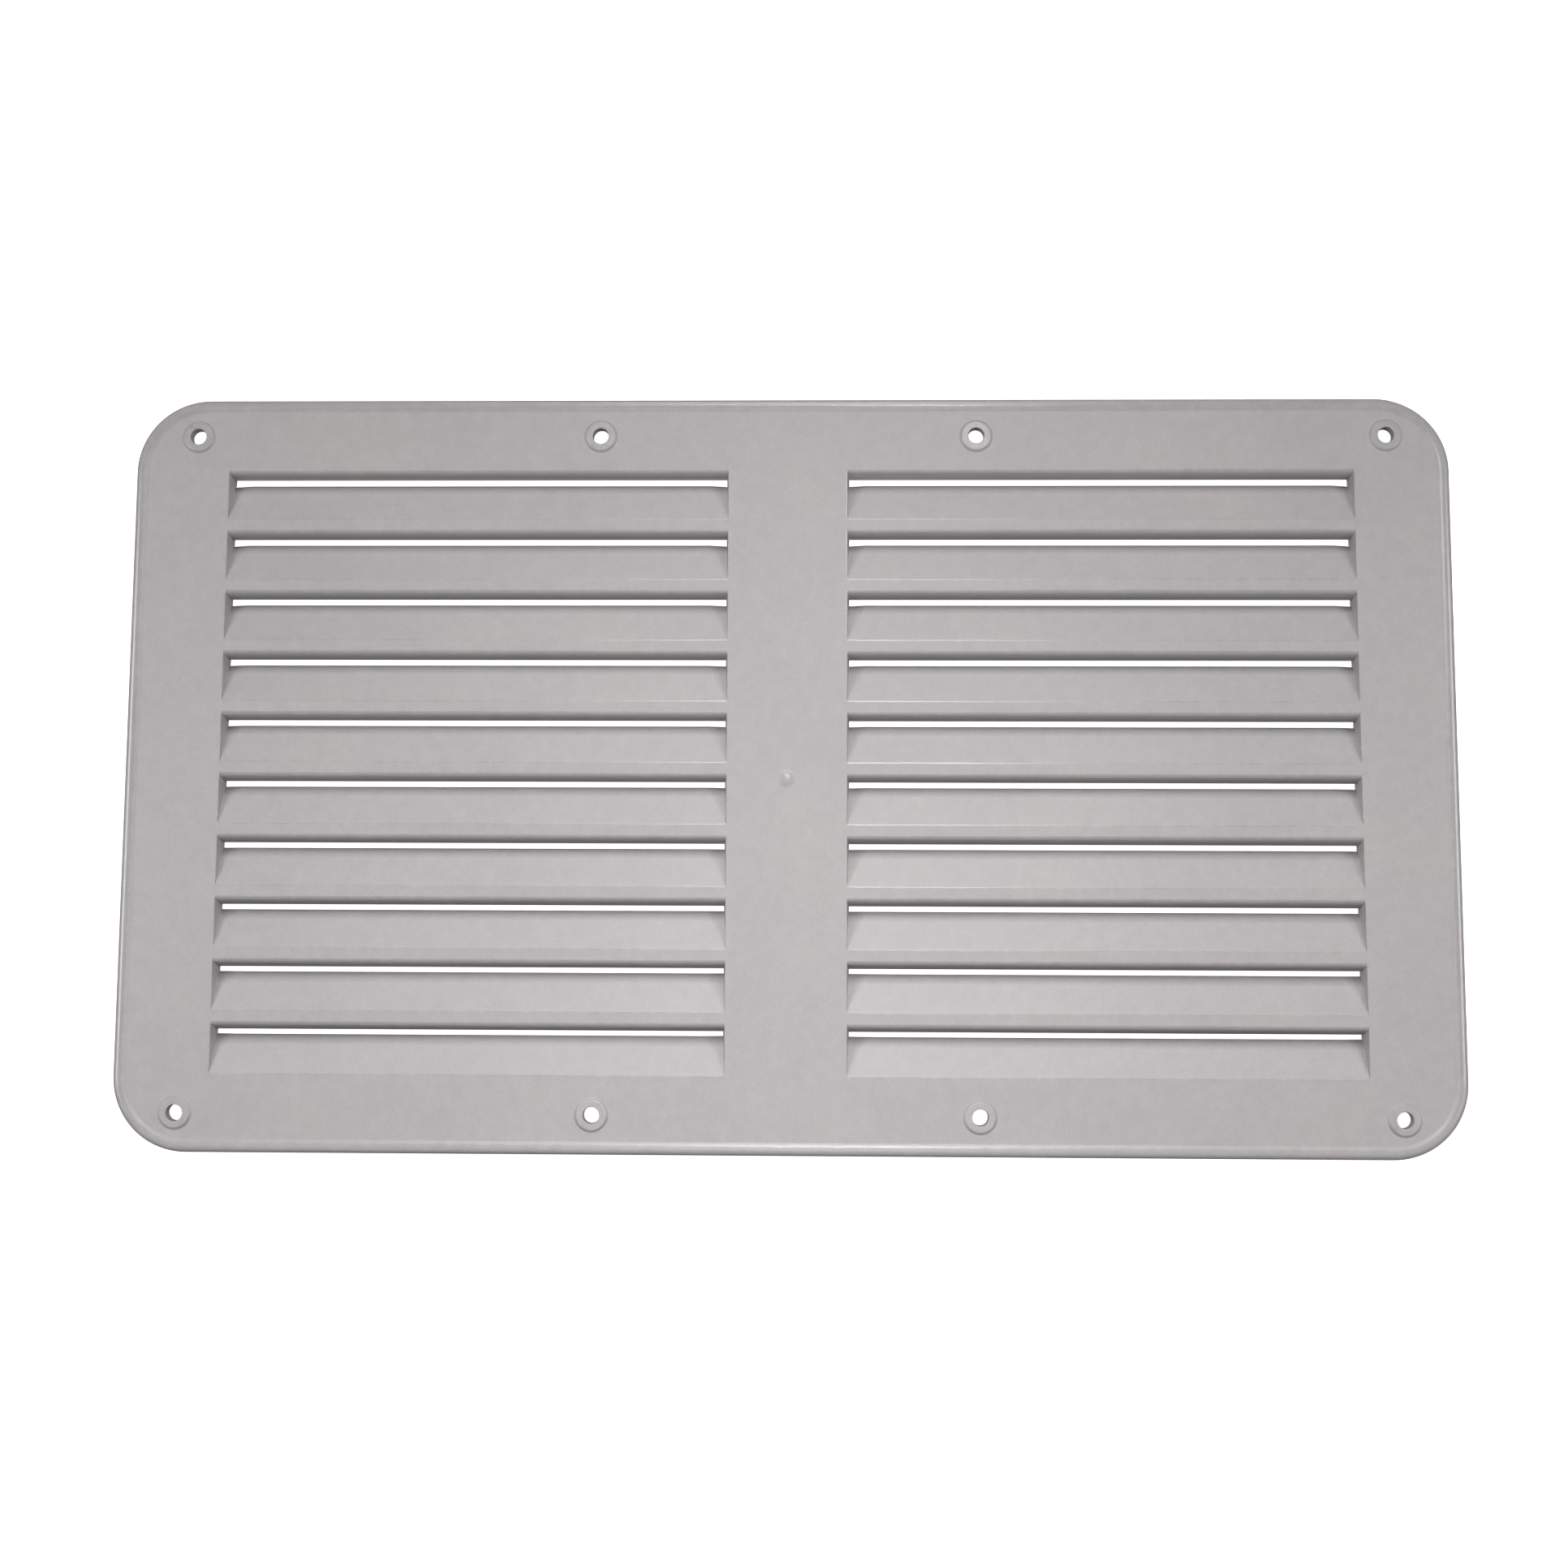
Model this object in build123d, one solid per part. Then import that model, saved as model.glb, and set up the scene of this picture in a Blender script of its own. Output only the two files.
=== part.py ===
from build123d import *
from math import radians, tan
import os

# Fixed louvred ventilation cover, moulded in one plastic and screwed over a wall or roof opening.
# Its flat border lies on the wall. The louvres and the ribs at their ends hang into the opening.
# The origin is the centre of the mounting plane, which is the plate's back. +Z points out of
# the weather face, +X runs along the long side and +Y points to the upper edge, so rain runs
# towards -Y. All sizes are millimetres.

# ---- driving dimensions ----
panel_length = 430.0
panel_height = 245.0
corner_radius = 24.0
plate = 2.5                  # wall thickness, from the mounting plane to the weather face

bead_width = 4.5             # rounded bead around the edge
bead_rise = 0.6              # its crest above the weather face
bead_outer_radius = 2.0

side_margin = 31.0           # outline to the outer ends of the louvres
mullion_width = 39.0
louvre_count = 10
louvre_pitch = 20.0
end_margin = 24.5            # outline to the first lip, and to the last bend line

strip_width = 4.0            # flat land between a bend line and the lip below it
lip_radius = 1.6
lip_land = 1.15              # where the lip's rounding starts, above the lip line
lip_draft = 25.0             # degrees, slope of the lip's underside
lip_depth = 4.0
lip_heel = 1.0               # the thicker back of the lip, above the lip line

blade_run = 12.7             # height of a blade, bend line to free edge
blade_slope = 0.26           # drop inwards for each millimetre of run
wall_slope = 0.38            # the same along the two ends, where the blade dips
facet_slope = 0.495          # width of the dipping corner for each millimetre of run
blade_edge_front = 1.8
blade_edge_back = 0.5

rib_thickness = 2.0          # where it leaves the plate
rib_depth = 3.0              # how far it reaches behind the plate
rib_edge = 0.3               # how far below the weather face its leaning side starts
rib_draft = 7.0              # degrees, lean of its face towards the louvres

screw_x_outer = 194.5
screw_x_inner = 61.5
screw_y = 110.0
screw_hole_radius = 2.6
boss_radius = 5.6
boss_rise = 0.75
boss_edge = 1.2              # width of the boss's rounded shoulder

nub_y = -2.8
nub_radius = 3.0
nub_rise = 0.6

# ---- derived places ----
half_length = panel_length / 2
half_height = panel_height / 2
crest_level = plate + bead_rise
field_half_length = half_length - bead_width
field_half_height = half_height - bead_width
field_radius = corner_radius - bead_width
corner_x = half_length - corner_radius
corner_y = half_height - corner_radius
louvre_inner_x = mullion_width / 2
louvre_outer_x = half_length - side_margin
louvre_length = louvre_outer_x - louvre_inner_x
first_lip_y = half_height - end_margin
bend_drop = louvre_pitch - strip_width       # from a lip line down to its bend line
column_starts = {"left": -louvre_outer_x, "right": louvre_inner_x}
tolerance = 0.01             # for finding faces and edges of a solid


def plate_slab(sketch):
    """A flat piece of the weather plate, from its outline."""
    return extrude(sketch, plate)


def falling_arc(start, level, end, drop):
    """Arc that leaves a crest level and has fallen by drop where it ends."""
    run = end - start
    radius = (run**2 + drop**2) / (2 * drop)
    middle = level - radius + (radius**2 - (run / 2) ** 2) ** 0.5
    return ThreePointArc((start, level), (start + run / 2, middle), (end, level - drop))


# ---- rim: a solid bead that ends flush with the plate's back ----

def rim_section(plane):
    """Rim section. Local x is the distance in from the outline, local y the height."""
    outer_side = Line((0, 0), (0, crest_level - bead_outer_radius))
    outer_arc = JernArc(outer_side @ 1, (0, 1), bead_outer_radius, -90)
    inner_arc = falling_arc(bead_outer_radius, crest_level, bead_width, bead_rise)
    inside = Polyline(inner_arc @ 1, (bead_width, 0), (0, 0))
    return plane * make_face([outer_side, outer_arc, inner_arc, inside])


def section_plane(origin, inward):
    """Plane that looks along the rim, with local x pointing inwards and local y up."""
    along = Vector(*inward).cross(Vector(0, 0, 1))
    return Plane(origin=origin, x_dir=inward, z_dir=along)


def straight_rim(origin, inward, length):
    return extrude(rim_section(section_plane(origin, inward)), length)


def rim_corner(side_x, side_y):
    """Quarter turn of the rim about one corner's centre."""
    centre = (side_x * corner_x, side_y * corner_y, 0)
    start = (side_x * half_length, side_y * corner_y, 0)
    section = rim_section(section_plane(start, (-side_x, 0, 0)))
    turn = 90 * side_x * side_y
    return revolve(section, Axis(centre, (0, 0, 1)), turn)


def rim_pieces():
    side_length = 2 * corner_y
    long_length = 2 * corner_x
    return {
        "rim_top": straight_rim((corner_x, half_height, 0), (0, -1, 0), long_length),
        "rim_bottom": straight_rim((-corner_x, -half_height, 0), (0, 1, 0), long_length),
        "rim_left": straight_rim((-half_length, corner_y, 0), (1, 0, 0), side_length),
        "rim_right": straight_rim((half_length, -corner_y, 0), (-1, 0, 0), side_length),
        "rim_corner_top_left": rim_corner(-1, 1),
        "rim_corner_top_right": rim_corner(1, 1),
        "rim_corner_bottom_left": rim_corner(-1, -1),
        "rim_corner_bottom_right": rim_corner(1, -1),
    }


# ---- louvres, drawn from their left end ----

def strip_and_lip():
    """The flat land over a slot, its rounded lip and sloping underside; lip line at y = 0."""
    land = Line((strip_width, plate), (lip_land, plate))
    centre = (lip_land, plate - lip_radius)
    round_edge = CenterArc(centre, lip_radius, 90, 90 - lip_draft)
    round_end = round_edge @ 1
    lip_back = plate - lip_depth
    tip_y = round_end.X - (round_end.Y - lip_back) * tan(radians(lip_draft))
    back = Polyline(
        round_end,
        (tip_y, lip_back),
        (lip_heel, lip_back),
        (lip_heel - lip_back, 0),
        (strip_width, 0),
        (strip_width, plate),
    )
    section = Plane.YZ * make_face([land, round_edge, back])
    return extrude(section, louvre_length)


def slab_under(points):
    """One plane facet of a blade, as thick as the plate."""
    facet = Face(Wire.make_polygon(points, close=True))
    return extrude(facet, plate, dir=(0, 0, -1))


def blade():
    """A sloping blade whose end corners dip further in than its middle; bend at y = 0."""
    top_z = plate - blade_slope * blade_run
    wall_z = plate - wall_slope * blade_run
    corner = facet_slope * blade_run
    bend = [(0, 0, plate), (louvre_length, 0, plate)]
    crease = [(corner, blade_run, top_z), (louvre_length - corner, blade_run, top_z)]
    dips = [(0, blade_run, wall_z), (louvre_length, blade_run, wall_z)]
    middle = slab_under([bend[0], bend[1], crease[1], crease[0]])
    left = slab_under([bend[0], crease[0], dips[0]])
    right = slab_under([bend[1], dips[1], crease[1]])
    return round_free_edge(middle + left + right)


def free_edges(body, side):
    """The blade's upper edges on its front (side 1) or its back (side -1)."""
    faces = body.faces().filter_by(lambda face: face.normal_at().Z * side > tolerance)
    near, far = blade_run - tolerance, blade_run + tolerance
    return faces.edges().filter_by_position(Axis.Y, near, far)


def round_free_edge(body):
    """Round the blade's upper edge, more in front than behind."""
    body = fillet(free_edges(body, 1), blade_edge_front)
    return fillet(free_edges(body, -1), blade_edge_back)


def louvre_pieces():
    """Twenty louvres. The last of each column has no land: it runs into the bottom rail."""
    last = blade()
    whole = last + Pos(0, -strip_width, 0) * strip_and_lip()
    pieces = {}
    for side, start_x in column_starts.items():
        for row in range(louvre_count):
            bend_y = first_lip_y - bend_drop - row * louvre_pitch
            shape = last if row == louvre_count - 1 else whole
            pieces[f"louvre_{side}_{row + 1:02d}"] = Pos(start_x, bend_y, 0) * shape
    return pieces


# ---- flat pieces of the weather plate ----

def screw_points():
    """Names and places of the screws, from the upper left to the lower right."""
    points = {}
    for level, y in (("top", screw_y), ("bottom", -screw_y)):
        points[f"{level}_1"] = (-screw_x_outer, y)
        points[f"{level}_2"] = (-screw_x_inner, y)
        points[f"{level}_3"] = (screw_x_inner, y)
        points[f"{level}_4"] = (screw_x_outer, y)
    return points


def rail(side):
    """The plate above (side 1) or below (side -1) the louvres, open for the bosses."""
    field = RectangleRounded(2 * field_half_length, 2 * field_half_height, field_radius)
    height = field_half_height - first_lip_y
    band_y = side * (first_lip_y + height / 2)
    outline = field & Pos(0, band_y) * Rectangle(panel_length, height)
    for x, y in screw_points().values():
        outline -= Pos(x, y) * Circle(boss_radius)
    return plate_slab(outline)


def top_rail():
    """The upper rail, whose lower edge is the lip over the first slot of each column."""
    body = rail(1)
    for start_x in column_starts.values():
        land_centre = (start_x + louvre_length / 2, first_lip_y + strip_width / 2)
        land = Pos(*land_centre) * Rectangle(louvre_length, strip_width)
        body = body - plate_slab(land) + Pos(start_x, first_lip_y, 0) * strip_and_lip()
    return body


def upright(centre_x, width):
    """A plain upright of the plate, between the two rails."""
    return plate_slab(Pos(centre_x, 0) * Rectangle(width, 2 * first_lip_y))


def plate_pieces():
    stile_width = field_half_length - louvre_outer_x
    stile_x = louvre_outer_x + stile_width / 2
    return {
        "top_rail": top_rail(),
        "bottom_rail": rail(-1),
        "left_stile": upright(-stile_x, stile_width),
        "right_stile": upright(stile_x, stile_width),
        "centre_mullion": upright(0, mullion_width),
    }


# ---- ribs that close the ends of the louvres ----

def rib(edge_x, side):
    """A rib along one end of a column of louvres, which lie to its side (1 right, -1 left)."""
    top_z = plate - rib_edge
    lean = (top_z + rib_depth) * tan(radians(rib_draft))
    far_x = edge_x - side * rib_thickness
    outline = Polyline(
        (edge_x, 0),
        (edge_x, top_z),
        (edge_x + side * lean, -rib_depth),
        (far_x, -rib_depth),
        (far_x, 0),
        (edge_x, 0),
    )
    body = extrude(Plane.XZ * make_face(outline), 2 * first_lip_y)
    return Pos(0, first_lip_y, 0) * body


def rib_pieces(lipped):
    """The four ribs, each let in round the ends of the louvres and the upper rail's lips."""
    ribs = {
        "rib_left_outer": rib(-louvre_outer_x, 1),
        "rib_left_inner": rib(-louvre_inner_x, -1),
        "rib_right_inner": rib(louvre_inner_x, 1),
        "rib_right_outer": rib(louvre_outer_x, -1),
    }
    return {name: body - lipped for name, body in ribs.items()}


# ---- screw bosses and the moulding's gate nub ----

def screw_boss(x, y):
    """A round pad that stands out of the face, with a rounded shoulder and a screw hole."""
    top_level = plate + boss_rise
    shoulder_start = boss_radius - boss_edge
    top = Line((screw_hole_radius, top_level), (shoulder_start, top_level))
    shoulder = falling_arc(shoulder_start, top_level, boss_radius, boss_rise)
    behind = Polyline(
        shoulder @ 1,
        (boss_radius, 0),
        (screw_hole_radius, 0),
        (screw_hole_radius, top_level),
    )
    section = Plane.XZ * make_face([top, shoulder, behind])
    return Pos(x, y, 0) * revolve(section, Axis.Z)


def boss_pieces():
    pieces = {}
    for name, (x, y) in screw_points().items():
        pieces[f"screw_boss_{name}"] = screw_boss(x, y)
    return pieces


def gate_nub():
    """Low dome left where the plastic was injected, near the middle of the mullion."""
    crown = falling_arc(0, plate + nub_rise, nub_radius, nub_rise)
    behind = Polyline(crown @ 1, (0, plate), (0, plate + nub_rise))
    section = Plane.XZ * make_face([crown, behind])
    return Pos(0, nub_y, 0) * revolve(section, Axis.Z)


def build_pieces():
    plates = plate_pieces()
    louvres = louvre_pieces()
    lipped = [plates["top_rail"]] + list(louvres.values())
    pieces = {}
    pieces.update(plates)
    pieces.update(rim_pieces())
    pieces.update(rib_pieces(lipped))
    pieces.update(louvres)
    pieces.update(boss_pieces())
    pieces["gate_nub"] = gate_nub()
    return pieces


def main():
    os.makedirs("parts", exist_ok=True)
    for name, shape in build_pieces().items():
        export_step(shape, f"parts/{name}.step")


main()
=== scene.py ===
import math

import bmesh
import bpy
from mathutils import Matrix, Vector, geometry


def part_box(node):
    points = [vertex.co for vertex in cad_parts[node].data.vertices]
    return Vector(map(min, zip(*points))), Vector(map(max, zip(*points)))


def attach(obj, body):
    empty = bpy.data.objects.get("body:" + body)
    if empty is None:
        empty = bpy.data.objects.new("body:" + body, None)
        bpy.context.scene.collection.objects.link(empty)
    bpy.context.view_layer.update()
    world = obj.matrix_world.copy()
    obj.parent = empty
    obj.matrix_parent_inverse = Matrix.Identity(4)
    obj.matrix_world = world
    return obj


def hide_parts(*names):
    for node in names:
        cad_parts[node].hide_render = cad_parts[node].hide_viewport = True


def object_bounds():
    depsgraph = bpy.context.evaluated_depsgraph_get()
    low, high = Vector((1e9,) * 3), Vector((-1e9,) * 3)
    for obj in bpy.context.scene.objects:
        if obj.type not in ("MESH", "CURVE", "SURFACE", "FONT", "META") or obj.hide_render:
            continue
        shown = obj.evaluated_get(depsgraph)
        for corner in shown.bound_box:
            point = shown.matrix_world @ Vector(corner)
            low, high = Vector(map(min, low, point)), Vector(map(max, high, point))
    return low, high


# Louvred vent cover: the looks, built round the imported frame. Lengths in the mesh code are in
# millimetres in the frame's own axes, and are turned into metres when a mesh is made.

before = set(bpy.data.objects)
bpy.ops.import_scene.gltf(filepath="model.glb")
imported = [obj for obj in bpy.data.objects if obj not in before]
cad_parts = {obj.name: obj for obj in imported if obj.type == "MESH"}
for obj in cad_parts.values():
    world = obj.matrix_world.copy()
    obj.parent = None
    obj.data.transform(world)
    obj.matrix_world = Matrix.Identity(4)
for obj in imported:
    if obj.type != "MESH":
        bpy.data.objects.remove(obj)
cad_low, cad_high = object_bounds()

MM = 0.001

# ---- profile sizes that a node's box doesn't give ----
BEAD_OUTER_RADIUS = 2.0
BEAD_BACK_RADIUS = 0.25
BEAD_FLANK = 1.9               # convex part of the bead's inner side; the rest is the hollow to the face
LIP_RADIUS = 1.6
LIP_LAND = 1.15                # where the lip's rounding starts, above the lip line
LIP_DRAFT = 25.0               # degrees, slope of the lip's underside
LIP_DEPTH = 4.0                # from the face to the lip's tip
LIP_HEEL = 1.0                 # the thicker back of the lip, above the lip line
LIP_TIP_RADIUS = 0.2
STRIP = 4.0                    # flat land between a bend line and the lip below it
BLADE_SLOPE = 0.26             # a blade's drop inwards for each millimetre of run
WALL_SLOPE = 0.38              # the same along its two ends, where its corners dip
FACET_SLOPE = 0.495            # width of a dipping corner for each millimetre of run
BEND_SPREAD = 0.35             # half the run over which a blade bends out of the flat land
EDGE_FRONT = 1.8               # how far a blade's front rolls down at its free edge
EDGE_ROLL = 3.4                # the run over which it does so
EDGE_BACK = 0.5                # radius of the free edge's back corner
OPENING_EDGE = 0.22            # rounding of the uprights where the blades dip below them
OPENING_FADE = 1.5             # run over which that rounding grows from nothing
HOLE_RADIUS = 2.6
HOLE_EDGE = 0.3                # radius of a screw hole's upper edge
BOSS_TOP = 4.4                 # radius of a boss's flat top
BOSS_FLANK = 0.75
NUB_FLANK = 2.4

# ---- rows of points, where a surface needs more than its corners ----
LAND_ROWS = (-2.6, -1.3)       # from the bend line, as in the next two
BLADE_ROWS = (1.6, 3.0, 4.4, 5.8, 7.2, 8.4)
BACK_ROWS = (9.8, 7.2, 4.4, 1.6, 0.7, 0.35, 0.0)
LENGTH_SHARES = (0.1, 0.2, 0.35, 0.5, 0.65, 0.8, 0.9)
OPENING_ROWS = (0.0, 0.4, 0.9, OPENING_FADE, 8.0, 16.0, 16.3, 16.6, 17.0)
BORE_ROW = 1.2                 # halfway up a screw hole
UPRIGHT_BORDER = 0.6           # beside an opening, the width over which the rubbed edge fades out
BEND_STEPS = 8
EDGE_STEPS = 4
RING_STEPS = 48
CORNER_STEPS = 24
SHARP_ANGLE = math.radians(15)
MERGE = 1e-6                   # a difference smaller than this counts as none

# ---- wear and painted shade: from 1 on a rubbed edge, through 0 on the grained face, to -1 where shade is painted into the colour ----
RUBBED = 1.0
RUBBED_BEND = 0.8
RUBBED_HOLE = 0.6
RUBBED_NUB = 0.5
LAND_WEAR = 0.05
# full painted shade: the darkest colour, on the lips' tips and the blades' hidden free edges
PAINTED_SHADE = -1.0
LIP_WEAR_FALL = 1.3            # how much the wear falls from the top of a lip's rounding to its side

# ---- studio, in metres ----
STUDIO = 3.0                   # from the part to the studio's walls
DOME_LIFTS = (0, 15, 30, 45, 60, 75)    # degrees, the rings of the studio's dome
CAMERA_PLACE = (0.0098, -0.0531, 0.5374)
CAMERA_FORWARD = (-0.01984, 0.09046, -0.99570)
CAMERA_UP = (-0.00255, 0.99589, 0.09053)
CAMERA_LENS = 38.33            # millimetres
CAMERA_SENSOR = 36.0           # millimetres
CAMERA_NEAR = 0.01
SKY = 0.04                     # strength of the even light from all round
CENTRE = (0.0, 0.0, 0.0)
LIGHTS = (
    # name, place, target, width, watts, beam in degrees
    ("window_left", (-0.8, 0.04, 0.7), CENTRE, 0.5, 4.0, 180),
    ("window_right", (0.8, 0.04, 0.7), CENTRE, 0.5, 3.5, 180),
    ("far_window", (0.0, 1.3, 0.9), CENTRE, 0.6, 3.2, 180),
    ("soft_box", (0.0, 0.35, 0.8), (0.0, -0.25, 0.0), 0.25, 0.285, 50),
    ("fill", (0.0, -0.12, 0.5), CENTRE, 0.25, 0.35, 180),
    ("lamp", (0.082, 0.19, 0.535), (0.06, 0.05, 0.0), 0.02, 0.27, 180),
)


def node_box(node):
    """Lowest and highest corner of a CAD node, in millimetres."""
    low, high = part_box(node)
    return low / MM, high / MM


# ---- places, all read from the frame ----
rim_low, rim_high = node_box("rim_corner_top_right")
bead_low, bead_high = node_box("rim_top")
stile_low, stile_high = node_box("right_stile")
mullion_low, mullion_high = node_box("centre_mullion")
louvre_low, louvre_high = node_box("louvre_right_10")
boss_low, boss_high = node_box("screw_boss_top_4")
nub_low, nub_high = node_box("gate_nub")

HALF_LENGTH = rim_high.x
HALF_HEIGHT = rim_high.y
CORNER_RADIUS = rim_high.x - rim_low.x
BEAD_WIDTH = bead_high.y - bead_low.y
CREST = bead_high.z
FACE = stile_high.z
FIELD_X = HALF_LENGTH - BEAD_WIDTH
CORNER_X = HALF_LENGTH - CORNER_RADIUS
CORNER_Y = HALF_HEIGHT - CORNER_RADIUS
FIRST_LIP = stile_high.y
INNER_X = mullion_high.x
OUTER_X = stile_low.x
LOUVRE_LENGTH = OUTER_X - INNER_X
BLADE_RUN = louvre_high.y - louvre_low.y
BOSS_RADIUS = (boss_high.x - boss_low.x) / 2
BOSS_LEVEL = boss_high.z
NUB_RADIUS = (nub_high.x - nub_low.x) / 2
BOSSES = 4                     # along each rail
ROWS = sum(name.startswith("louvre_left_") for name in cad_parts)
PITCH = node_box("louvre_right_01")[1].y - node_box("louvre_right_02")[1].y


# ---- mesh helpers ----

def make_piece(name, points, faces, nodes, wear_and_shade):
    """A closed mesh piece that stands for CAD nodes. The last argument gives each point's wear, and
    below zero its painted shade.
    """
    mesh = bpy.data.meshes.new(name)
    mesh.from_pydata([Vector(p) * MM for p in points], [], faces)
    layer = mesh.attributes.new("wear_and_shade", "FLOAT", "POINT")
    layer.data.foreach_set("value", wear_and_shade)
    solid = bmesh.new()
    solid.from_mesh(mesh)
    bmesh.ops.remove_doubles(solid, verts=solid.verts, dist=MERGE)
    bmesh.ops.dissolve_degenerate(solid, edges=solid.edges, dist=MERGE)
    bmesh.ops.recalc_face_normals(solid, faces=solid.faces)
    solid.to_mesh(mesh)
    solid.free()
    mesh.shade_smooth()
    mesh.set_sharp_from_angle(angle=SHARP_ANGLE)
    piece = bpy.data.objects.new(name, mesh)
    bpy.context.scene.collection.objects.link(piece)
    weighted = piece.modifiers.new("weighted", "WEIGHTED_NORMAL")
    weighted.keep_sharp = True
    mesh.materials.append(plastic)
    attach(piece, "root")
    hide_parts(*nodes)


def arc(centre, radius, start, end, steps):
    """Points of an arc in a plane, angles in degrees."""
    points = []
    for i in range(steps + 1):
        angle = math.radians(start + (end - start) * i / steps)
        points.append((centre[0] + radius * math.cos(angle), centre[1] + radius * math.sin(angle)))
    return points


def s_fall(start, level, end, drop, flank, steps):
    """A rounded shoulder: falls by drop from start to end, convex over flank, then hollow."""
    run = end - start
    slope = 2 * drop / run
    points = []
    for i in range(steps + 1):
        u = run * i / steps
        if u <= flank:
            fall = slope * u * u / (2 * flank)
        else:
            left = run - u
            fall = drop - slope * left * left / (2 * (run - flank))
        points.append((start + u, level - fall))
    return points


def loft(rings, closed=False, ring_closed=True):
    """Faces between rings of points, with end caps if the run of rings is open."""
    size = len(rings[0])
    points = [point for ring in rings for point in ring]
    faces = []
    count = len(rings)
    for i in range(count if closed else count - 1):
        here, there = i * size, (i + 1) % count * size
        for j in range(size if ring_closed else size - 1):
            k = (j + 1) % size
            a, b, c, d = here + j, here + k, there + k, there + j
            faces.extend(split_quad(points, a, b, c, d))
    if not closed:
        faces.append(tuple(range(size)))
        faces.append(tuple((count - 1) * size + j for j in reversed(range(size))))
    return points, faces


def split_quad(points, a, b, c, d):
    """A quad, or where it isn't flat, two triangles along the higher of its diagonals."""
    across = points[a][2] + points[c][2]
    along = points[b][2] + points[d][2]
    if abs(across - along) < MERGE:
        return [(a, b, c, d)]
    if across > along:
        return [(a, b, c), (a, c, d)]
    return [(a, b, d), (b, c, d)]


# ---- material ----
NOISE_LOW, NOISE_HIGH = 0.3, 0.7    # the part of a noise's range that carries its pattern
BUMP_STRENGTH = 0.8
# how much the painted shade darkens the base colour at full strength
PAINTED_SHADE_STRENGTH = 0.4
POLISH = 0.33                  # how much smoother a rubbed edge is than the face


def node_at(tree, kind, x, y, **values):
    node = tree.nodes.new(kind)
    node.location = (x, y)
    for key, value in values.items():
        setattr(node, key, value)
    return node


def noise(tree, coordinates, place, scale, detail, roughness):
    node = node_at(tree, "ShaderNodeTexNoise", *place)
    node.inputs["Scale"].default_value = scale
    node.inputs["Detail"].default_value = detail
    node.inputs["Roughness"].default_value = roughness
    tree.links.new(coordinates, node.inputs["Vector"])
    return node.outputs["Fac"]


def spread(tree, value, place, low, high):
    """Maps a noise value to the range low to high."""
    node = node_at(tree, "ShaderNodeMapRange", *place)
    node.inputs["From Min"].default_value = NOISE_LOW
    node.inputs["From Max"].default_value = NOISE_HIGH
    node.inputs["To Min"].default_value = low
    node.inputs["To Max"].default_value = high
    tree.links.new(value, node.inputs["Value"])
    return node.outputs["Result"]


def combine(tree, operation, first, second, place):
    """One step of arithmetic on two values; a plain number stays on its socket."""
    node = node_at(tree, "ShaderNodeMath", *place, operation=operation)
    for socket, value in zip(node.inputs, (first, second)):
        if isinstance(value, (int, float)):
            socket.default_value = value
        else:
            tree.links.new(value, socket)
    return node.outputs["Value"]


def bump(tree, height, place, depth):
    """Relief that follows a height value, depth in metres."""
    node = node_at(tree, "ShaderNodeBump", *place)
    node.inputs["Distance"].default_value = depth
    node.inputs["Strength"].default_value = BUMP_STRENGTH
    tree.links.new(height, node.inputs["Height"])
    return node


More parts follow.
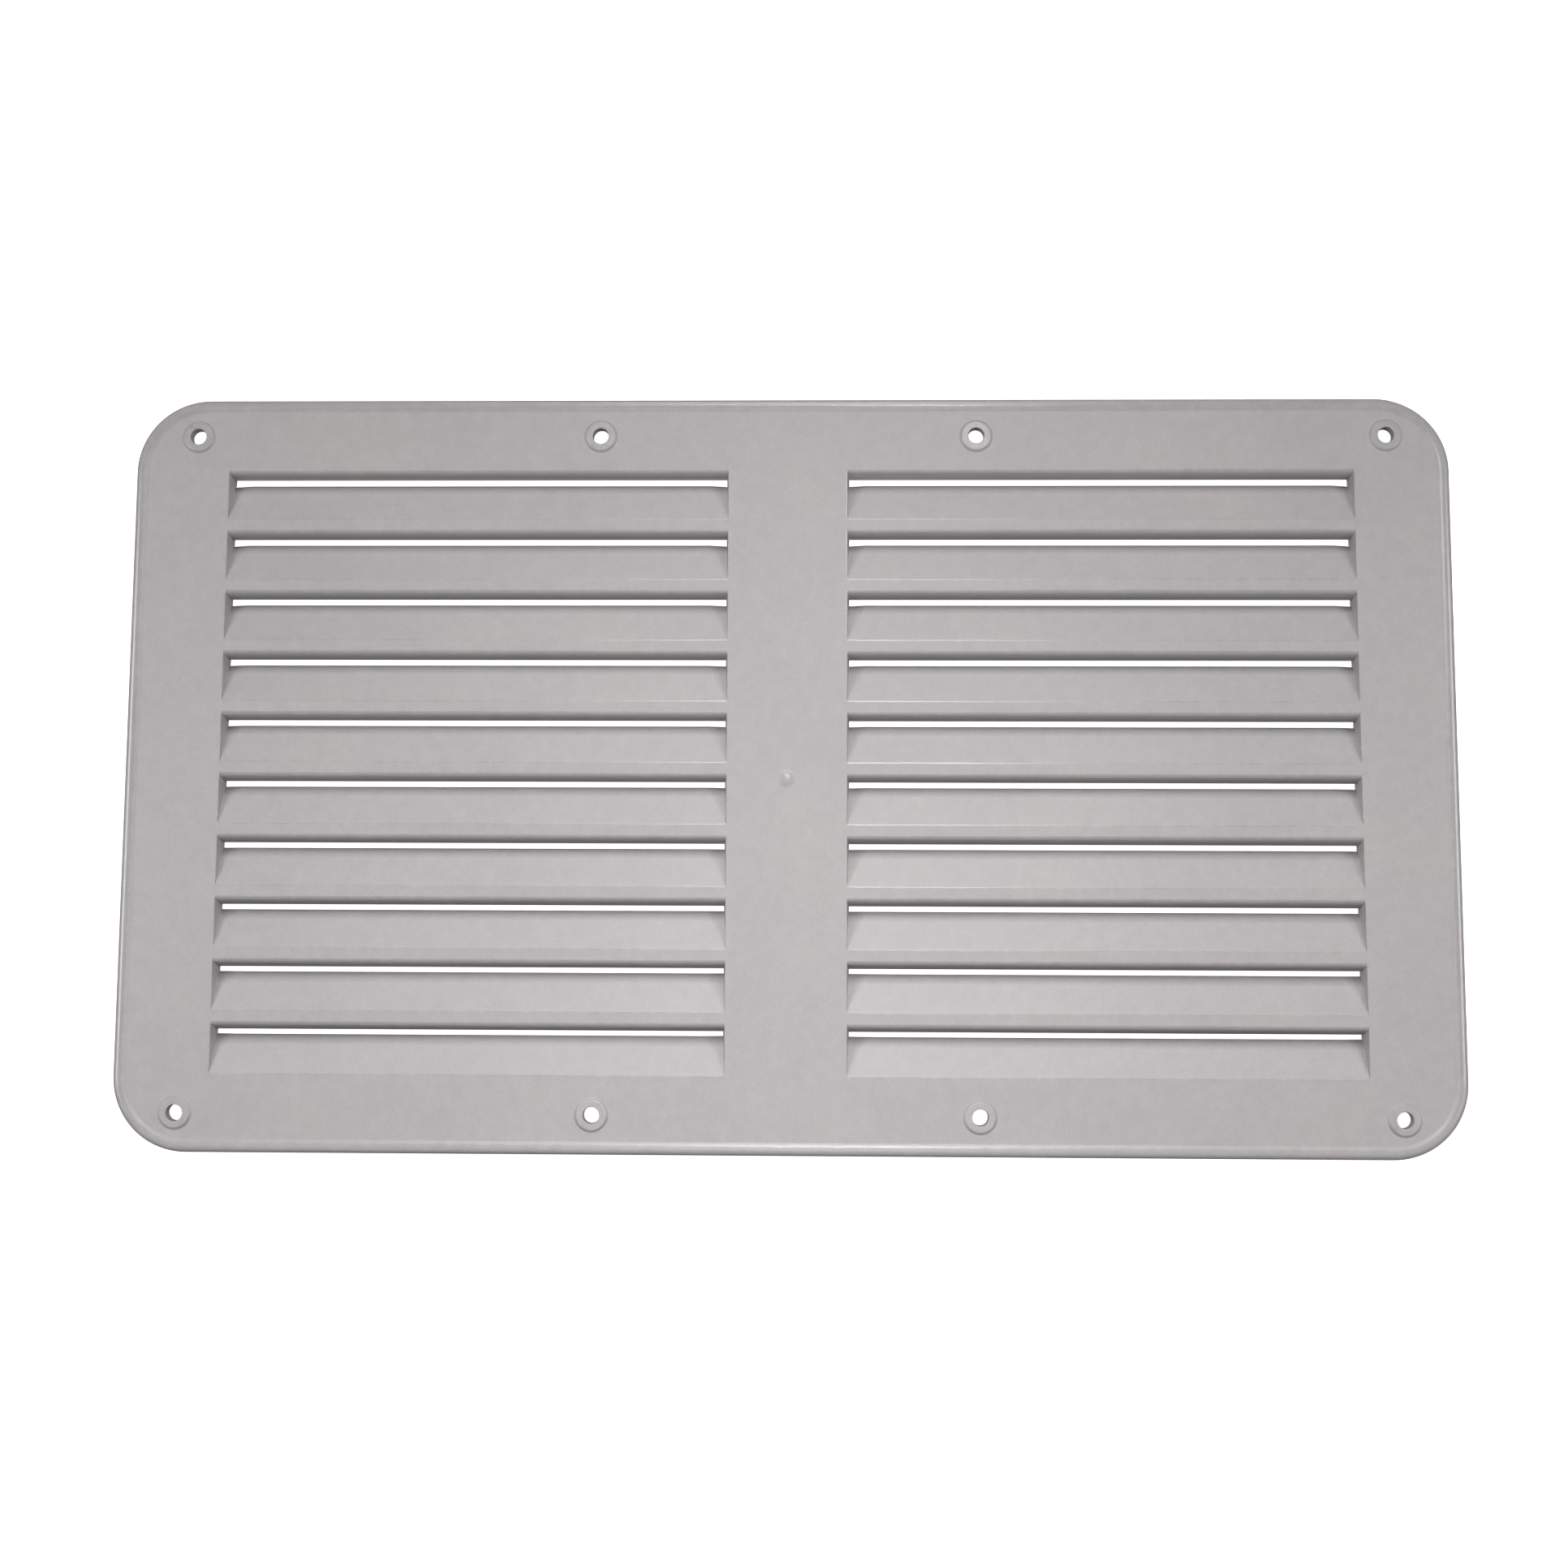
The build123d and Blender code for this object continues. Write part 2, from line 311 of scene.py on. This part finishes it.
def moulded_plastic():
    """Grey moulding: fine spark grain, faint cloudiness, polished edges, and painted shade under the
    lips and on the blades' hidden free edges.
    """
    material = bpy.data.materials.new("moulded_grey_plastic")
    material.use_nodes = True
    tree = material.node_tree
    shader = tree.nodes["Principled BSDF"]
    place = node_at(tree, "ShaderNodeTexCoord", -1400, 0).outputs["Object"]
    wear_and_shade = node_at(tree, "ShaderNodeAttribute", -1400, -500, attribute_name="wear_and_shade").outputs["Fac"]

    cloud = noise(tree, place, (-1150, 300), scale=16, detail=3, roughness=0.55)
    mottle = noise(tree, place, (-1150, 80), scale=260, detail=2, roughness=0.6)
    grain = noise(tree, place, (-1150, -140), scale=1800, detail=2, roughness=0.7)
    wave = noise(tree, place, (-1150, -360), scale=26, detail=1, roughness=0.4)

    tone = node_at(tree, "ShaderNodeValToRGB", -650, 300)
    tone.color_ramp.elements[0].position = NOISE_LOW
    tone.color_ramp.elements[0].color = (0.478, 0.453, 0.463, 1)
    tone.color_ramp.elements[1].position = NOISE_HIGH
    tone.color_ramp.elements[1].color = (0.500, 0.474, 0.476, 1)
    tree.links.new(cloud, tone.inputs["Fac"])
    speckle = spread(tree, mottle, (-900, 80), low=0.965, high=1.035)
    sand = spread(tree, grain, (-900, -200), low=0.95, high=1.05)
    # Painted shade: below zero the wear value darkens the base colour, under the lips and on the blades'
    # hidden edges.
    shade_share = combine(tree, "MINIMUM", wear_and_shade, 0.0, (-1100, -660))
    dust = combine(tree, "MULTIPLY", shade_share, PAINTED_SHADE_STRENGTH, (-900, -660))
    shade_factor = combine(tree, "ADD", dust, 1.0, (-750, -660))
    speckle = combine(tree, "MULTIPLY", speckle, sand, (-700, 80))
    speckle = combine(tree, "MULTIPLY", speckle, shade_factor, (-550, 80))
    shade = node_at(tree, "ShaderNodeVectorMath", -350, 250, operation="SCALE")
    tree.links.new(tone.outputs["Color"], shade.inputs[0])
    tree.links.new(speckle, shade.inputs["Scale"])
    tree.links.new(shade.outputs["Vector"], shader.inputs["Base Color"])

    rough = spread(tree, mottle, (-900, -80), low=0.46, high=0.54)
    rubbed = combine(tree, "MAXIMUM", wear_and_shade, 0.0, (-1100, -500))
    polish = combine(tree, "MULTIPLY", rubbed, POLISH, (-900, -500))
    rough = combine(tree, "SUBTRACT", rough, polish, (-650, -80))
    tree.links.new(rough, shader.inputs["Roughness"])

    fine = bump(tree, grain, (-350, -300), depth=0.00005)
    broad = bump(tree, wave, (-600, -300), depth=0.0002)
    tree.links.new(broad.outputs["Normal"], fine.inputs["Normal"])
    tree.links.new(fine.outputs["Normal"], shader.inputs["Normal"])
    shader.inputs["Specular IOR Level"].default_value = 0.75
    return material


plastic = moulded_plastic()


# ---- rim ----

def rim_profile():
    """(distance in from the outline, height, worn) round the rim's section."""
    profile = [(BEAD_WIDTH, 0.0, 0.0)]
    for x, z in arc((BEAD_BACK_RADIUS, BEAD_BACK_RADIUS), BEAD_BACK_RADIUS, 270, 180, 4):
        profile.append((x, z, RUBBED / 2))
    centre = (BEAD_OUTER_RADIUS, CREST - BEAD_OUTER_RADIUS)
    for x, z in arc(centre, BEAD_OUTER_RADIUS, 180, 90, 16)[:-1]:
        profile.append((x, z, RUBBED))
    for x, z in s_fall(BEAD_OUTER_RADIUS, CREST, BEAD_WIDTH, CREST - FACE, BEAD_FLANK, 20):
        profile.append((x, z, max(0.0, (z - FACE) / (CREST - FACE))))
    return profile


RIM_PROFILE = rim_profile()


def rim_ring(outline_point, inward):
    """The rim's section, standing on a point of the outline."""
    ring = []
    for inset, z, _ in RIM_PROFILE:
        ring.append((outline_point[0] + inward[0] * inset, outline_point[1] + inward[1] * inset, z))
    return ring


def rim_piece(name, rings):
    points, faces = loft(rings)
    wear_and_shade = [row[2] for row in RIM_PROFILE] * len(rings)
    make_piece(name + "_moulding", points, faces, [name], wear_and_shade)


def corner_rings(side_x, side_y):
    """Sections round one corner of the outline."""
    rings = []
    for i in range(CORNER_STEPS + 1):
        angle = math.radians(90 * i / CORNER_STEPS)
        out = (side_x * math.cos(angle), side_y * math.sin(angle))
        edge = (side_x * CORNER_X + out[0] * CORNER_RADIUS, side_y * CORNER_Y + out[1] * CORNER_RADIUS)
        rings.append(rim_ring(edge, (-out[0], -out[1])))
    return rings


def straight_rings(start, end, inward, steps):
    """Sections along one straight of the outline."""
    rings = []
    for i in range(steps + 1):
        share = i / steps
        edge = (start[0] + (end[0] - start[0]) * share, start[1] + (end[1] - start[1]) * share)
        rings.append(rim_ring(edge, inward))
    return rings


def build_rim():
    for level, side_y in (("top", 1), ("bottom", -1)):
        y = side_y * HALF_HEIGHT
        rings = straight_rings((-CORNER_X, y), (CORNER_X, y), (0, -side_y), steps=8)
        rim_piece(f"rim_{level}", rings)
        for side, side_x in (("left", -1), ("right", 1)):
            rim_piece(f"rim_corner_{level}_{side}", corner_rings(side_x, side_y))
    for side, side_x in (("left", -1), ("right", 1)):
        x = side_x * HALF_LENGTH
        rings = straight_rings((x, -CORNER_Y), (x, CORNER_Y), (-side_x, 0), steps=6)
        rim_piece(f"rim_{side}", rings)


# ---- louvres ----

def lip_profile():
    """The lip's front and underside: (y from the lip line, height, wear, which below zero is painted
    shade), from the land inwards.
    """
    profile = []
    centre = (LIP_LAND, FACE - LIP_RADIUS)
    at_line = 90 + math.degrees(math.asin(LIP_LAND / LIP_RADIUS))
    upper = arc(centre, LIP_RADIUS, 90, at_line, 5)
    upper[-1] = (0.0, upper[-1][1])
    lower = arc(centre, LIP_RADIUS, at_line, 180 - LIP_DRAFT, 9)
    for y, z in upper + lower[1:]:
        profile.append((y, z, RUBBED - LIP_WEAR_FALL * (FACE - z) / LIP_RADIUS))
    profile[0] = (LIP_LAND, FACE, 0.0)
    end_y, end_z, _ = profile[-1]
    back = FACE - LIP_DEPTH
    lean = math.tan(math.radians(LIP_DRAFT))
    tip_y = end_y - (end_z - back) * lean
    bevel = LIP_TIP_RADIUS
    # Painted shade on the lip's underside and tip, darkest at the tip.
    profile.append(((end_y + tip_y) / 2, (end_z + back) / 2, 0.7 * PAINTED_SHADE))
    for inwards, up, wear in ((lean, 1.0, PAINTED_SHADE), (0.45, 0.3, PAINTED_SHADE), (1.2, 0.0, 0.6 * PAINTED_SHADE)):
        profile.append((tip_y + bevel * inwards, back + bevel * up, wear))
    profile.append((LIP_HEEL, back, 0.0))
    profile.append((LIP_HEEL + LIP_DEPTH - FACE, 0.0, 0.0))
    return profile


LIP_PROFILE = lip_profile()


def bend(s):
    """How far down the slope a point s above the bend line lies, with the bend's rounding."""
    spread_run = 2 * BEND_SPREAD
    if s <= 0:
        return 0.0
    if s < spread_run:
        return s * s / (2 * spread_run)
    return s - BEND_SPREAD


def blade_drop(x, s):
    """Depth of a blade's surface below the face, x from its left end and s above its bend."""
    to_end = min(x, LOUVRE_LENGTH - x)
    middle = BLADE_SLOPE * bend(s)
    end = WALL_SLOPE * bend(s) - (WALL_SLOPE - BLADE_SLOPE) / FACET_SLOPE * to_end
    return max(middle, end)


def blade_front():
    """(s, extra drop, wear, which below zero is painted shade) of the blade's front, from the bend line
    to its end face.
    """
    rows = []
    for i in range(BEND_STEPS + 1):
        s = 2 * BEND_SPREAD * i / BEND_STEPS
        rows.append((s, 0.0, RUBBED_BEND * math.sin(math.pi * i / BEND_STEPS)))
    for s in BLADE_ROWS:
        rows.append((s, 0.0, 0.0))
    # Painted shade along the roll down to the free edge, which lies under the lip above.
    for reach, height in arc((0, 0), 1.0, 90, 0, 14):
        s = BLADE_RUN - EDGE_ROLL * (1 - reach)
        rows.append((s, EDGE_FRONT * (1 - height), reach * PAINTED_SHADE))
    return rows


def blade_back():
    """(s, extra drop) of the blade's back, from its end face down to the bend line."""
    rows = []
    centre = (BLADE_RUN - EDGE_BACK, EDGE_BACK - FACE)
    for s, z in arc(centre, EDGE_BACK, 0, -90, 5):
        rows.append((s, -z))
    for s in BACK_ROWS:
        rows.append((s, FACE))
    return rows


BLADE_FRONT = blade_front()
BLADE_BACK = blade_back()


def louvre_ring(x, has_lip):
    """One section of a louvre: (y from the bend line, height) and its wear, which below zero is painted
    shade, as a closed loop.
    """
    ring = []
    wear_and_shade = []
    if has_lip:
        for y, z, share in LIP_PROFILE[::-1]:
            ring.append((y - STRIP, z))
            wear_and_shade.append(share)
        for y in LAND_ROWS:
            ring.append((y, FACE))
            wear_and_shade.append(LAND_WEAR)
    for s, extra, share in BLADE_FRONT:
        ring.append((s, FACE - blade_drop(x, s) - extra))
        wear_and_shade.append(share)
    for s, extra in BLADE_BACK:
        ring.append((s, FACE - blade_drop(x, s) - extra))
        # Painted shade on the rounded back corner of the free edge.
        wear_and_shade.append(PAINTED_SHADE if extra < FACE else 0.0)
    return ring, wear_and_shade


def louvre_stations():
    """Places along a louvre: dense at its ends, where the dipping corner's crease crosses each row."""
    near = sorted({round(FACET_SLOPE * bend(s), 6) for s, _, _ in BLADE_FRONT})
    middle = [LOUVRE_LENGTH * share for share in LENGTH_SHARES]
    return near + middle + [LOUVRE_LENGTH - x for x in reversed(near)]


def bend_line(row):
    """Height on the panel of a louvre's bend, rows counted down from 0."""
    return FIRST_LIP - PITCH + STRIP - row * PITCH


def build_louvres():
    stations = louvre_stations()
    starts = {"left": -OUTER_X, "right": INNER_X}
    for side, start_x in starts.items():
        for row in range(ROWS):
            bend_y = bend_line(row)
            has_lip = row < ROWS - 1
            rings, wear_and_shade = [], []
            for x in stations:
                ring, shares = louvre_ring(x, has_lip)
                rings.append([(start_x + x, bend_y + y, z) for y, z in ring])
                wear_and_shade.extend(shares)
            points, faces = loft(rings)
            name = f"louvre_{side}_{row + 1:02d}"
            make_piece(name + "_moulding", points, faces, [name], wear_and_shade)


# ---- rails ----
KEEP_INSIDE = 1                # the triangulation's option that drops what lies outside the outline
FILL_MERGE = 1e-5


def circle(centre, radius):
    points = []
    for i in range(RING_STEPS):
        angle = 2 * math.pi * i / RING_STEPS
        points.append((centre[0] + radius * math.cos(angle), centre[1] + radius * math.sin(angle)))
    return points


def boss_centres(level):
    centres = []
    for i in range(1, BOSSES + 1):
        low, high = node_box(f"screw_boss_{level}_{i}")
        centres.append(((low.x + high.x) / 2, (low.y + high.y) / 2))
    return centres


def flat_region(outline, centres, z):
    """Triangles that fill an outline, apart from a round hole for the boss at each centre."""
    loops = [outline] + [circle(centre, BOSS_RADIUS) for centre in centres]
    flat = [Vector(p) for loop in loops for p in loop]
    edges = []
    start = 0
    for loop in loops:
        count = len(loop)
        edges += [(start + i, start + (i + 1) % count) for i in range(count)]
        start += count
    filled = geometry.delaunay_2d_cdt(flat, edges, [], KEEP_INSIDE, FILL_MERGE)
    spots, triangles = filled[0], filled[2]
    points = [(p.x, p.y, z) for p in spots]
    holes = [Vector(centre) for centre in centres]
    hole_reach = BOSS_RADIUS * math.cos(math.pi / RING_STEPS)
    faces = []
    for face in triangles:
        middle = sum((spots[i] for i in face), Vector((0, 0))) / len(face)
        if all((middle - hole).length > hole_reach for hole in holes):
            faces.append(tuple(face))
    return points, faces, [0.0] * len(points)


def join(parts):
    """Several (points, faces, worn) in one."""
    points, faces, wear_and_shade = [], [], []
    for part_points, part_faces, part_worn in parts:
        base = len(points)
        points.extend(part_points)
        faces.extend([tuple(base + i for i in face) for face in part_faces])
        wear_and_shade.extend(part_worn)
    return points, faces, wear_and_shade


def wall(chain, closed):
    """Upright walls from the back to the face, along a chain of points."""
    points = [(x, y, 0.0) for x, y in chain] + [(x, y, FACE) for x, y in chain]
    count = len(chain)
    faces = []
    for i in range(count if closed else count - 1):
        k = (i + 1) % count
        faces.append((i, k, count + k, count + i))
    return points, faces, [0.0] * len(points)


def polygon(points):
    """One flat face."""
    return list(points), [tuple(range(len(points)))], [0.0] * len(points)


def rail_corner(side_x, side):
    """The seam between a rail and the rim's corner, from the upright's side to the long edge."""
    radius = FIELD_X - CORNER_X
    points = []
    for i in range(CORNER_STEPS + 1):
        angle = math.radians(90 * i / CORNER_STEPS)
        x = side_x * (CORNER_X + radius * math.cos(angle))
        points.append((x, side * (CORNER_Y + radius * math.sin(angle))))
    return points


def rail_upper_chain(side):
    """From the right end of the seam with the uprights, round the corners, to its left end."""
    right = [(FIELD_X, side * FIRST_LIP)] + rail_corner(1, side)
    left = rail_corner(-1, side)[::-1] + [(-FIELD_X, side * FIRST_LIP)]
    return right + left


def build_bottom_rail():
    chain = rail_upper_chain(-1)
    low_edge = [(x, -FIRST_LIP) for x in (-OUTER_X, -INNER_X, INNER_X, OUTER_X)]
    outline = chain + low_edge
    centres = boss_centres("bottom")
    parts = [flat_region(outline, centres, z) for z in (0.0, FACE)]
    parts.append(wall(outline, True))
    parts += [wall(circle(centre, BOSS_RADIUS), True) for centre in centres]
    points, faces, wear_and_shade = join(parts)
    make_piece("bottom_rail_moulding", points, faces, ["bottom_rail"], wear_and_shade)


def lip_run(start_x, end_x):
    """The rail's lip over one slot, and the small end faces where it meets the plain edge."""
    count = len(LIP_PROFILE)
    points = [(x, FIRST_LIP + y, z) for x in (start_x, end_x) for y, z, _ in LIP_PROFILE]
    wear_and_shade = [share for _ in range(2) for _, _, share in LIP_PROFILE]
    faces = [(i, i + 1, count + i + 1, count + i) for i in range(count - 1)]
    parts = [(points, faces, wear_and_shade)]
    split = next(i for i, row in enumerate(LIP_PROFILE) if abs(row[0]) < MERGE)
    for x in (start_x, end_x):
        rounding = [(x, FIRST_LIP + y, z) for y, z, _ in LIP_PROFILE[:split + 1]]
        parts.append(polygon(rounding + [(x, FIRST_LIP, FACE)]))
        below = [(x, FIRST_LIP + y, z) for y, z, _ in LIP_PROFILE[split:]]
        parts.append(polygon(below + [(x, FIRST_LIP, 0.0)]))
    return parts


def build_top_rail():
    chain = rail_upper_chain(1)
    centres = boss_centres("top")
    split_z = next(z for y, z, _ in LIP_PROFILE if abs(y) < MERGE)
    parts = []
    for z, inset in ((0.0, LIP_PROFILE[-1][0]), (FACE, LIP_PROFILE[0][0])):
        edge = []
        for start_x, end_x in ((-OUTER_X, -INNER_X), (INNER_X, OUTER_X)):
            edge.append((start_x, FIRST_LIP))
            edge.append((start_x, FIRST_LIP + inset))
            edge.append((end_x, FIRST_LIP + inset))
            edge.append((end_x, FIRST_LIP))
        parts.append(flat_region(chain + edge, centres, z))
    parts.append(wall(chain, False))
    parts += [wall(circle(centre, BOSS_RADIUS), True) for centre in centres]
    for start_x, end_x in ((-FIELD_X, -OUTER_X), (-INNER_X, INNER_X), (OUTER_X, FIELD_X)):
        upwards = [(start_x, 0.0), (end_x, 0.0), (end_x, split_z)]
        downwards = [(end_x, FACE), (start_x, FACE), (start_x, split_z)]
        side = []
        for x, z in upwards + downwards:
            at_rim = abs(x) == FIELD_X and z == split_z
            if not at_rim:
                side.append((x, FIRST_LIP, z))
        parts.append(polygon(side))
    for start_x, end_x in ((-OUTER_X, -INNER_X), (INNER_X, OUTER_X)):
        parts += lip_run(start_x, end_x)
    points, faces, wear_and_shade = join(parts)
    make_piece("top_rail_moulding", points, faces, ["top_rail"], wear_and_shade)


# ---- uprights ----

def opening_edge(y):
    """Size of the rounding at an opening's edge: none where the land lies flush."""
    for row in range(ROWS):
        s = y - bend_line(row)
        opening_end = PITCH - STRIP + LIP_LAND
        if 0 <= s <= opening_end:
            grow = min(1.0, s / OPENING_FADE)
            fade = min(1.0, max(0.0, (opening_end - s) / LIP_LAND))
            return OPENING_EDGE * grow * fade
    return 0.0


def upright_stations():
    """Places along an upright, closer together where the rounding of its edges starts and ends."""
    stations = {-FIRST_LIP, FIRST_LIP}
    for row in range(ROWS):
        for s in OPENING_ROWS:
            y = bend_line(row) + s
            if y < FIRST_LIP:
                stations.add(round(y, 6))
    return sorted(stations)


def edge_points(x, side, size):
    """Rounded edge at x, from the opening's wall up to the face; side is the way to the opening."""
    points = []
    for across, z in arc((-size, FACE - size), size, 0, 90, EDGE_STEPS):
        points.append((x + side * across, z))
    return points


def edge_wear(size):
    return [RUBBED_BEND * size / OPENING_EDGE] * (EDGE_STEPS + 1)


def build_upright(name, low_x, high_x, open_sides):
    """A stile or the mullion; open_sides are the sides (-1 left, 1 right) with louvres."""
    rings, wear_and_shade = [], []
    for y in upright_stations():
        size = opening_edge(y)
        high_size = size if 1 in open_sides else 0.0
        low_size = size if -1 in open_sides else 0.0
        section = [(low_x, 0.0), (high_x, 0.0)]
        section += edge_points(high_x, 1, high_size)
        section += [(high_x - UPRIGHT_BORDER, FACE), (low_x + UPRIGHT_BORDER, FACE)]
        section += edge_points(low_x, -1, low_size)[::-1]
        rings.append([(x, y, z) for x, z in section])
        wear_and_shade += [0.0, 0.0] + edge_wear(high_size) + [0.0, 0.0] + edge_wear(low_size)
    points, faces = loft(rings)
    make_piece(name + "_moulding", points, faces, [name], wear_and_shade)


def build_uprights():
    build_upright("centre_mullion", -INNER_X, INNER_X, (-1, 1))
    build_upright("right_stile", OUTER_X, FIELD_X, (-1,))
    build_upright("left_stile", -FIELD_X, -OUTER_X, (1,))


# ---- round pieces ----

def turned(centre, profile, hollow=True):
    """Solid of revolution from (radius, height, worn); unless hollow, it starts and ends on the axis."""
    rings, wear_and_shade = [], []
    for i in range(RING_STEPS):
        angle = 2 * math.pi * i / RING_STEPS
        ring = []
        for radius, z, share in profile:
            ring.append((centre[0] + radius * math.cos(angle), centre[1] + radius * math.sin(angle), z))
            wear_and_shade.append(share)
        rings.append(ring)
    points, faces = loft(rings, closed=True, ring_closed=hollow)
    return points, faces, wear_and_shade


def build_bosses():
    profile = [(HOLE_RADIUS, 0.0, 0.0), (HOLE_RADIUS, BORE_ROW, 0.0)]
    for r, z in arc((HOLE_RADIUS + HOLE_EDGE, BOSS_LEVEL - HOLE_EDGE), HOLE_EDGE, 180, 90, 5):
        profile.append((r, z, RUBBED_HOLE))
    for r, z in s_fall(BOSS_TOP, BOSS_LEVEL, BOSS_RADIUS, BOSS_LEVEL - FACE, BOSS_FLANK, 14):
        profile.append((r, z, RUBBED_HOLE * (z - FACE) / (BOSS_LEVEL - FACE)))
    profile.append((BOSS_RADIUS, 0.0, 0.0))
    for level in ("top", "bottom"):
        for i, centre in enumerate(boss_centres(level), 1):
            name = f"screw_boss_{level}_{i}"
            points, faces, wear_and_shade = turned(centre, profile)
            make_piece(name + "_moulding", points, faces, [name], wear_and_shade)


def build_nub():
    profile = []
    for r, z in s_fall(0.0, nub_high.z, NUB_RADIUS, nub_high.z - FACE, NUB_FLANK, 12):
        profile.append((r, z, RUBBED_NUB))
    profile.append((0.0, FACE, 0.0))
    centre = ((nub_low.x + nub_high.x) / 2, (nub_low.y + nub_high.y) / 2)
    points, faces, wear_and_shade = turned(centre, profile, hollow=False)
    make_piece("gate_nub_moulding", points, faces, ["gate_nub"], wear_and_shade)


build_rim()
build_louvres()
build_bottom_rail()
build_top_rail()
build_uprights()
build_bosses()
build_nub()

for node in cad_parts.values():
    node.data.materials.clear()
    node.data.materials.append(plastic)


# ---- stage, camera and light ----

def dome_shape(level):
    """A half sphere that stands on the floor and closes off the studio."""
    rings = []
    for lift in DOME_LIFTS:
        ring_radius = STUDIO * math.cos(math.radians(lift))
        height = level + STUDIO * math.sin(math.radians(lift))
        rings.append([(x, y, height) for x, y in circle((0, 0), ring_radius)])
    return loft(rings)


def floor_shape(level):
    corners = [(x * STUDIO, y * STUDIO, level) for x, y in ((-1, -1), (1, -1), (1, 1), (-1, 1))]
    return corners, [(0, 1, 2, 3)]


def studio_surface(name, shape, drop, tone, glow):
    """Part of the studio, drop below the part. tone is its grey, glow the light it gives off itself."""
    points, faces = shape(cad_low.z - drop)
    mesh = bpy.data.meshes.new(name)
    mesh.from_pydata(points, [], faces)
    surface = bpy.data.objects.new(name, mesh)
    bpy.context.scene.collection.objects.link(surface)
    material = bpy.data.materials.new(name)
    material.use_nodes = True
    shader = material.node_tree.nodes["Principled BSDF"]
    shader.inputs["Base Color"].default_value = (tone, tone, tone, 1)
    shader.inputs["Roughness"].default_value = 0.9
    shader.inputs["Emission Color"].default_value = (1, 1, 1, 1)
    shader.inputs["Emission Strength"].default_value = glow
    mesh.materials.append(material)
    return surface


def build_studio():
    """The pale floor and walls that are seen, and a darker floor that stops light from below."""
    floor = studio_surface("bright_floor", floor_shape, drop=0.0001, tone=0.8, glow=0.98)
    backdrop = studio_surface("bright_backdrop", dome_shape, drop=0.0001, tone=0.8, glow=0.98)
    for seen in (floor, backdrop):
        seen.visible_diffuse = False
        seen.visible_glossy = False
        seen.visible_shadow = False
    dark = studio_surface("dark_floor", floor_shape, drop=0.0002, tone=0.12, glow=0.0)
    dark.visible_camera = False


def area_light(name, place, target, width, power, beam):
    """A square light that faces its target. beam is its spread in degrees."""
    light = bpy.data.lights.new(name, "AREA")
    light.shape = "SQUARE"
    light.size = width
    light.energy = power
    light.spread = math.radians(beam)
    lamp = bpy.data.objects.new(name, light)
    bpy.context.scene.collection.objects.link(lamp)
    lamp.location = place
    direction = Vector(target) - Vector(place)
    lamp.rotation_mode = "QUATERNION"
    lamp.rotation_quaternion = direction.to_track_quat("-Z", "Y")


def build_world():
    """An even white sky of low strength."""
    world = bpy.data.worlds.new("studio")
    bpy.context.scene.world = world
    world.use_nodes = True
    background = world.node_tree.nodes["Background"]
    background.inputs["Color"].default_value = (1, 1, 1, 1)
    background.inputs["Strength"].default_value = SKY


def build_camera():
    camera_data = bpy.data.cameras.new("camera")
    camera_data.sensor_width = CAMERA_SENSOR
    camera_data.lens = CAMERA_LENS
    camera_data.clip_start = CAMERA_NEAR
    camera = bpy.data.objects.new("camera", camera_data)
    bpy.context.scene.collection.objects.link(camera)
    forward = Vector(CAMERA_FORWARD).normalized()
    right = forward.cross(Vector(CAMERA_UP).normalized()).normalized()
    up = right.cross(forward)
    turn = Matrix((right, up, -forward)).transposed().to_4x4()
    camera.matrix_world = Matrix.Translation(CAMERA_PLACE) @ turn
    bpy.context.scene.camera = camera


build_studio()
build_world()
for row in LIGHTS:
    area_light(*row)
build_camera()
bpy.context.scene.view_settings.view_transform = "Standard"
